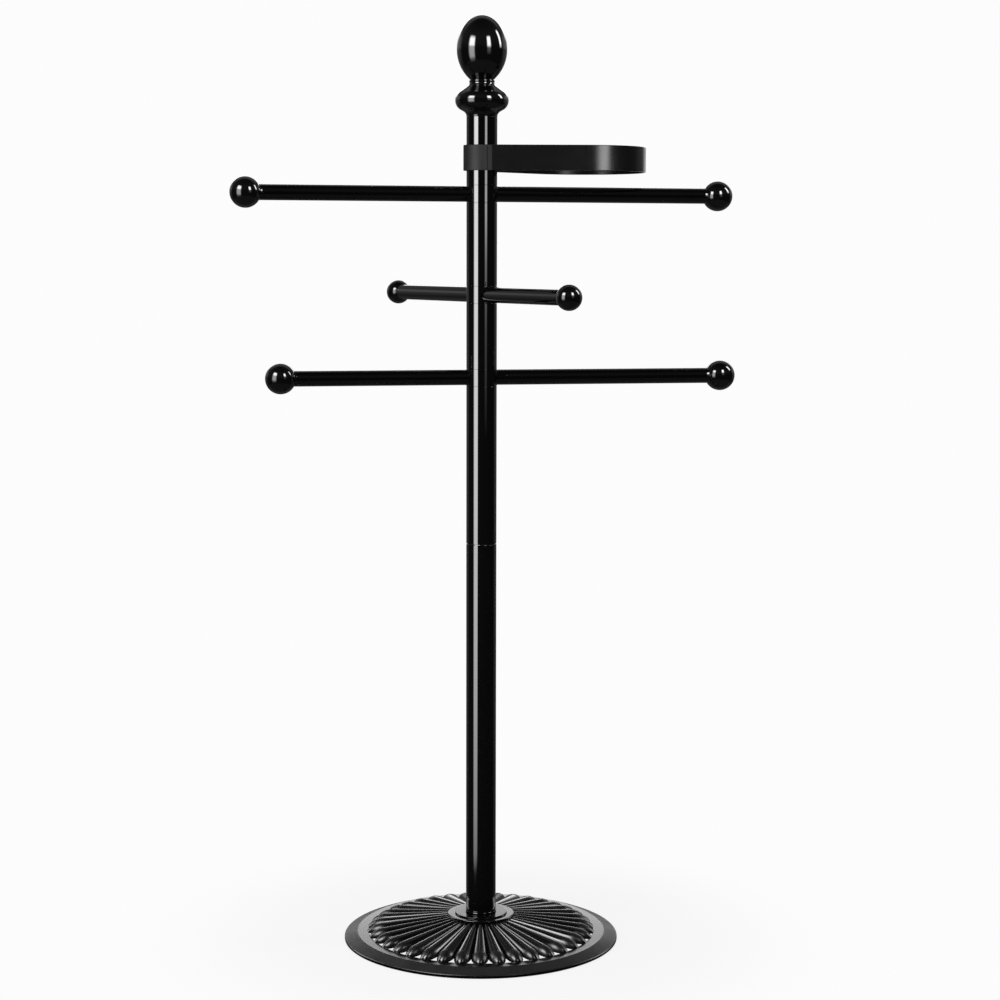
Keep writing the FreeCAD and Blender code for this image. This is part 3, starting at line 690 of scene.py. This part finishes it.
def makeHardware():
    h = hardware
    angle = np.linspace(0, 2 * math.pi, h["segments"], endpoint=False)[None, :]
    # The nut: its corners are cut back by a cone, z = (r - chamfer radius) times the slope.
    low, high = nodeBox("base_nut")
    side = hexRadius(angle + math.pi / 6, h["acrossFlats"])
    rise = np.maximum(side - h["chamferRadius"], 0) * h["chamferSlope"]
    bore, flat = h["nutBore"] + 0 * angle, h["chamferRadius"] + 0 * angle
    bottom, top, chamfer = 0 * angle, high[2] - low[2] + 0 * angle, h["boreChamfer"]
    r = np.concatenate([bore, bore + chamfer, flat, side, side, flat, bore + chamfer, bore])
    z = np.concatenate([bottom + chamfer, bottom, bottom, rise, top - rise, top, top, top - chamfer])
    points = np.stack([r * np.cos(angle), r * np.sin(angle), low[2] + z], -1)
    nut = makeMesh("baseNut", points, gridFaces(*points.shape[:2], closedRows=True), h["nutCrease"])
    dress(nut, "root", ["base_nut"], "zinc_steel")
    low, high = nodeBox("base_washer")
    washer = makeTurned("baseWasher", [
        (post["rodBore"], low[2], 0.1), (high[0], low[2], h["washerRounding"]),
        (high[0], high[2], h["washerRounding"]), (post["rodBore"], high[2], 0.1)], h["segments"])
    dress(washer, "root", ["base_washer"], "zinc_steel")
    # The tie rod's thread: r = R - depth times a triangle wave of (z / pitch - angle). It starts in the
    # rod's chamfer and fades out at its other end.
    low, high = nodeBox("lower_tie_rod")
    radius = high[0]
    z = np.arange(0, h["threadLength"], h["threadPitch"] / h["rowsPerPitch"])[:, None]
    wave = np.abs(2 * ((z / h["threadPitch"] - angle / (2 * math.pi)) % 1) - 1)
    depth = h["threadDepth"] * smoothStep((h["threadLength"] - z) / h["threadFade"])
    chamfer = np.maximum(h["rodChamfer"] - z, 0)
    r = np.minimum(radius - depth * wave, radius - chamfer)
    r = np.concatenate([0 * angle, r, radius + 0 * angle, radius + 0 * angle, 0 * angle])
    tall = high[2] - low[2]
    z = np.concatenate([z[:1], z, [[h["threadLength"] + h["threadRunout"]], [tall], [tall]]])
    points = np.stack([r * np.cos(angle), r * np.sin(angle), low[2] + z + 0 * angle], -1)
    rod = makeMesh("threadedTieRod", points, gridFaces(*points.shape[:2]), h["rodCrease"])
    dress(rod, "root", ["lower_tie_rod"], "zinc_steel")


makeHardware()

screw = {"headRadius": 2.8, "headDepth": 1.3, "shankRadius": 1.5, "length": 9.0, "socketFlats": 2.0,
         "socketDepth": 1.1, "socketEdge": 0.12, "socketPoint": 0.2, "headEdge": 0.15, "headEdgeWidth": 0.08,
         "spacing": 12.0, "degrees": 155.0, "face": 19.075, "sunk": 0.06, "segments": 72, "crease": 30}


def makeScrews():
    # A countersunk screw with a hexagon socket, laid along X with its head outwards. The rows run from
    # the shank's end over the cone and the head into the socket.
    s = screw
    low, high = nodeBox("band_screws")
    angle = np.linspace(0, 2 * math.pi, s["segments"], endpoint=False)[None, :]
    socket = hexRadius(angle, s["socketFlats"])
    ones = 1 + 0 * angle
    top, edge = s["face"] - s["sunk"], s["socketEdge"]
    floor = top - s["socketDepth"]
    profile = [(0, top - s["length"]), (s["shankRadius"], top - s["length"]),
               (s["shankRadius"], top - s["headDepth"]), (s["headRadius"], top - s["headEdge"]),
               (s["headRadius"] - s["headEdgeWidth"], top)]
    r = np.concatenate([radius * ones for radius, _ in profile] + [socket + edge, socket, socket, 0 * ones])
    heights = [height for _, height in profile] + [top, top - edge, floor, floor - s["socketPoint"]]
    z = np.array(heights)[:, None] * ones
    points = np.stack([z, r * np.cos(angle), r * np.sin(angle)], -1)
    faces = gridFaces(*points.shape[:2])
    middle = (low[2] + high[2]) / 2
    pair = [(swivelled(points, s["degrees"]) + [0, 0, middle + way * s["spacing"]], faces)
            for way in (-0.5, 0.5)]
    screws = makeMesh("bandScrews", *joined(pair), s["crease"])
    dress(screws, "towel_loop", ["band_screws"], "black_screw")


makeScrews()
print("base, foot and screws made")


view = {"place": (19.45, -2333.7, 725.8), "downDegrees": 6.28, "rollDegrees": 0.13, "lens": 80.81,
        "sensor": 36.0, "farthest": 50.0}


def makeCamera():
    data = bpy.data.cameras.new("camera")
    data.lens = view["lens"]
    data.sensor_width = view["sensor"]
    data.clip_end = view["farthest"]
    camera = bpy.data.objects.new("camera", data)
    camera.location = Vector(view["place"]) * mm
    tilt = Euler((math.radians(90 - view["downDegrees"]), 0, 0)).to_matrix()
    roll = Euler((0, 0, math.radians(view["rollDegrees"]))).to_matrix()
    camera.rotation_euler = (tilt @ roll).to_euler()
    bpy.context.collection.objects.link(camera)
    bpy.context.scene.camera = camera


makeCamera()
bpy.context.scene.view_settings.view_transform = "Standard"

# Soft light panels round the post: azimuth 0 is the viewer's side and 90 the right. A panel's light runs
# from mark to mark, each (height, radiance), and fades over a share of its width at its left and right.
# Only the pieces in "only" catch it, or all but those in "skips".
castBackSide = {"width": 560, "fade": (0.25, 0.25), "only": castPieces,
                "marks": ((60, 0), (160, 6), (1100, 7), (1250, 0))}
panels = {
    "leftPanel": {"azimuth": -45, "width": 860, "fade": (0.3, 0.08), "skips": rods + roundPieces + castPieces,
                  "marks": ((-310, 0), (-290, 0.1), (-262, 1.8), (-182, 2.8), (0, 4.2), (160, 5.4),
                            (400, 6.9), (790, 8.6), (1000, 9.6))},
    "rightPanel": {"azimuth": 32.5, "width": 480, "fade": (0.2, 0.3),
                   "skips": rods + roundPieces + castPieces + loopPieces,
                   "marks": ((430, 0), (600, 0.5), (710, 1.5), (792, 3.9), (930, 4.4), (1100, 5))},
    "leftRoundPanel": {"azimuth": -48, "width": 850, "fade": (0.35, 0.25), "only": roundPieces,
                       "marks": ((100, 0), (350, 1.0), (520, 3.4), (1100, 4), (1220, 12), (1550, 13),
                                 (1850, 0))},
    "rightRoundPanel": {"azimuth": 33, "width": 520, "fade": (0.3, 0.3), "only": roundPieces,
                        "marks": ((600, 0), (1050, 1.0), (1220, 13), (1650, 14), (1850, 0))},
    "sidePanel": {"azimuth": 95, "width": 330, "fade": (0.2, 0.2), "skips": rods + castPieces + loopPieces,
                  "marks": ((1050, 0), (1250, 10), (1850, 11), (2050, 0))},
    "backPanel": {"azimuth": 180, "width": 700, "fade": (0.4, 0.4), "only": columnPieces,
                  "marks": ((-450, 0), (-400, 1.8), (850, 1.8), (1000, 0))},
    "castHighPanel": {"azimuth": -60, "width": 1300, "fade": (0.12, 0.12), "only": castPieces,
                      "marks": ((1300, 0), (1480, 17), (2500, 17), (3000, 14), (3900, 14), (4200, 0))},
    "castRightPanel": {"azimuth": 40, "width": 320, "fade": (0.2, 0.2), "only": castPieces,
                       "marks": ((1600, 0), (1750, 14), (2800, 14), (3000, 0))},
    "castBackLeftPanel": {"azimuth": -116, **castBackSide},
    "castBackRightPanel": {"azimuth": 116, **castBackSide},
    "castBackPanel": {"azimuth": 180, "width": 1100, "fade": (0.2, 0.2), "only": castPieces,
                      "marks": ((200, 0), (250, 1.4), (335, 1.4), (370, 0))},
    "loopPanel": {"azimuth": 37, "width": 640, "fade": (0.5, 0.2), "only": loopPieces,
                  "marks": ((300, 0), (500, 8), (1200, 8), (1400, 0))},
    "loopBackPanel": {"azimuth": 162, "width": 1300, "fade": (0.2, 0.2), "only": loopPieces,
                      "marks": ((200, 0), (500, 0.9), (1200, 0.9), (1500, 0))}}
panelDistance = 1300


def addPanel(name, panel):
    # The lamp's power is its radiance times pi times its area.
    marks = panel["marks"]
    bottom, top = marks[0][0], marks[-1][0]
    brightest = max(radiance for _, radiance in marks)
    light = bpy.data.lights.new(name, "AREA")
    light.shape = "RECTANGLE"
    light.size = panel["width"] * mm
    light.size_y = (top - bottom) * mm
    light.energy = brightest * math.pi * light.size * light.size_y
    light.use_nodes = True
    nodes, links = light.node_tree.nodes, light.node_tree.links
    geometry = addNode(nodes, "ShaderNodeNewGeometry")
    place = addNode(nodes, "ShaderNodeSeparateXYZ")
    links.new(geometry.outputs["Position"], place.inputs["Vector"])
    heights = [(height * mm, radiance / brightest) for height, radiance in marks]
    level = addRamp(nodes, links, place.outputs["Z"], heights)
    share = addNode(nodes, "ShaderNodeSeparateXYZ")
    links.new(geometry.outputs["Parametric"], share.inputs["Vector"])
    left = addRange(nodes, links, share.outputs["X"], 0.0, panel["fade"][0], 0.0, 1.0, True)
    right = addRange(nodes, links, share.outputs["X"], 1.0, 1.0 - panel["fade"][1], 0.0, 1.0, True)
    level = addMath(nodes, links, "MULTIPLY", level, addMath(nodes, links, "MULTIPLY", left, right))
    links.new(level, nodes["Emission"].inputs["Strength"])
    lamp = bpy.data.objects.new(name, light)
    azimuth = math.radians(panel["azimuth"])
    lamp.location = Vector((math.sin(azimuth) * panelDistance, -math.cos(azimuth) * panelDistance,
                            (top + bottom) / 2)) * mm
    toPost = Vector((-math.sin(azimuth), math.cos(azimuth), 0))
    lamp.rotation_euler = toPost.to_track_quat("-Z", "Y").to_euler()
    lamp.visible_camera = False
    bpy.context.collection.objects.link(lamp)
    state = "INCLUDE" if "only" in panel else "EXCLUDE"
    chosen = bpy.data.collections.new(name + "Pieces")
    for piece in panel["only"] if "only" in panel else panel["skips"]:
        chosen.objects.link(piece)
    for member in chosen.collection_objects:
        member.light_linking.link_state = state
    lamp.light_linking.receiver_collection = chosen


for panelName, panelSettings in panels.items():
    addPanel(panelName, panelSettings)

# What gloss sees by the height z of a ray's direction, as marks (z, level): a dim room in front and
# above, a lighter one at the sides, and a lit backdrop straight behind. "sideY" and "behindY" are how far
# back a ray must point.
room = {"white": 0.975, "dim": 0.3, "sideY": (0.26, 0.48), "behindY": (0.84, 0.93), "scale": 4.0,
        "front": ((-1.0, 0.05), (-0.55, 0.05), (-0.45, 0.015), (0.1, 0.015), (0.3, 0.05), (0.6, 0.05),
                  (1.0, 0.01)),
        "sides": ((-1.0, 0.03), (-0.3, 0.03), (-0.05, 0.1), (0.06, 0.1), (0.12, 0.26), (0.3, 0.22),
                  (0.38, 0.05), (0.5, 0.03), (0.7, 0.16), (1.0, 0.16)),
        "backdrop": ((0.0, 0.0), (0.165, 0.0), (0.19, 2.2), (0.279, 2.2), (0.287, 1.6), (0.294, 1.0),
                     (0.309, 0.6), (0.36, 0.1), (0.5, 0.0))}


def makeWorld():
    world = bpy.data.worlds.new("studio")
    bpy.context.scene.world = world
    world.use_nodes = True
    nodes, links = world.node_tree.nodes, world.node_tree.links
    background = nodes["Background"]
    background.inputs["Color"].default_value = (1, 1, 1, 1)
    coordinates = addNode(nodes, "ShaderNodeTexCoord")
    direction = addNode(nodes, "ShaderNodeSeparateXYZ")
    links.new(coordinates.outputs["Generated"], direction.inputs["Vector"])
    height, back = direction.outputs["Z"], direction.outputs["Y"]
    front, sides, backdrop = [addRamp(nodes, links, height, room[part], room["scale"])
                              for part in ("front", "sides", "backdrop")]
    beside = addRange(nodes, links, back, *room["sideY"], 0.0, 1.0, True)
    behind = addRange(nodes, links, back, *room["behindY"], 0.0, 1.0, True)
    sides = addMath(nodes, links, "MULTIPLY", sides, beside)
    backdrop = addMath(nodes, links, "MULTIPLY", backdrop, behind)
    mirrored = addMath(nodes, links, "ADD", addMath(nodes, links, "ADD", front, sides), backdrop)
    path = addNode(nodes, "ShaderNodeLightPath")
    glossy, passing = path.outputs["Is Glossy Ray"], path.outputs["Is Transmission Ray"]
    forGloss = addMath(nodes, links, "MAXIMUM", glossy, passing)
    # a Mix node of plain values takes the factor in socket 0 and the two values in 2 and 3
    level = addNode(nodes, "ShaderNodeMix", {2: room["dim"]}, data_type="FLOAT")
    links.new(forGloss, level.inputs[0])
    links.new(mirrored, level.inputs[3])
    seen = addNode(nodes, "ShaderNodeMix", {3: room["white"]}, data_type="FLOAT")
    links.new(path.outputs["Is Camera Ray"], seen.inputs[0])
    links.new(level.outputs[0], seen.inputs[2])
    links.new(seen.outputs[0], background.inputs["Strength"])


makeWorld()

floorLook = {"radius": 420.0, "rings": 40, "segments": 96, "color": (0.85, 0.85, 0.85, 1), "roughness": 0.9,
             "shadowShare": 0.12, "fadeFrom": 160.0, "fadeShare": 0.96}


def makeFloor():
    # A pale disc, ring i at radius R (i / n). To the camera it fades into the white round it, and gloss
    # looks through it.
    f = floorLook
    share = np.linspace(0, 1, f["rings"])[::-1]
    points = turned(np.stack([share * f["radius"], 0 * share], -1), f["segments"])
    floor = makeMesh("floor", points, gridFaces(len(share), f["segments"]))
    sockets = {"Base_Color": f["color"], "Roughness": f["roughness"]}
    material, nodes, links, shader = newMaterial("paleFloor", **sockets)
    path = addNode(nodes, "ShaderNodeLightPath")
    glow = addNode(nodes, "ShaderNodeEmission", {"Strength": room["white"]})
    coordinates = addNode(nodes, "ShaderNodeTexCoord")
    radius = addNode(nodes, "ShaderNodeVectorMath", operation="LENGTH")
    links.new(coordinates.outputs["Object"], radius.inputs[0])
    fadeTo = f["radius"] * f["fadeShare"]
    fade = addRange(nodes, links, radius.outputs["Value"], f["fadeFrom"] * mm, fadeTo * mm,
                    1 - f["shadowShare"], 1.0, True)

    def mixed(factor, first, second):
        mix = addNode(nodes, "ShaderNodeMixShader")
        links.new(factor, mix.inputs[0])
        links.new(first, mix.inputs[1])
        links.new(second, mix.inputs[2])
        return mix.outputs[0]

    toCamera = mixed(fade, shader.outputs[0], glow.outputs[0])
    shown = mixed(path.outputs["Is Camera Ray"], shader.outputs[0], toCamera)
    links.new(shown, nodes["Material Output"].inputs["Surface"])
    floor.data.materials.append(material)
    floor.visible_glossy = False


makeFloor()
print("camera, lights and floor made")
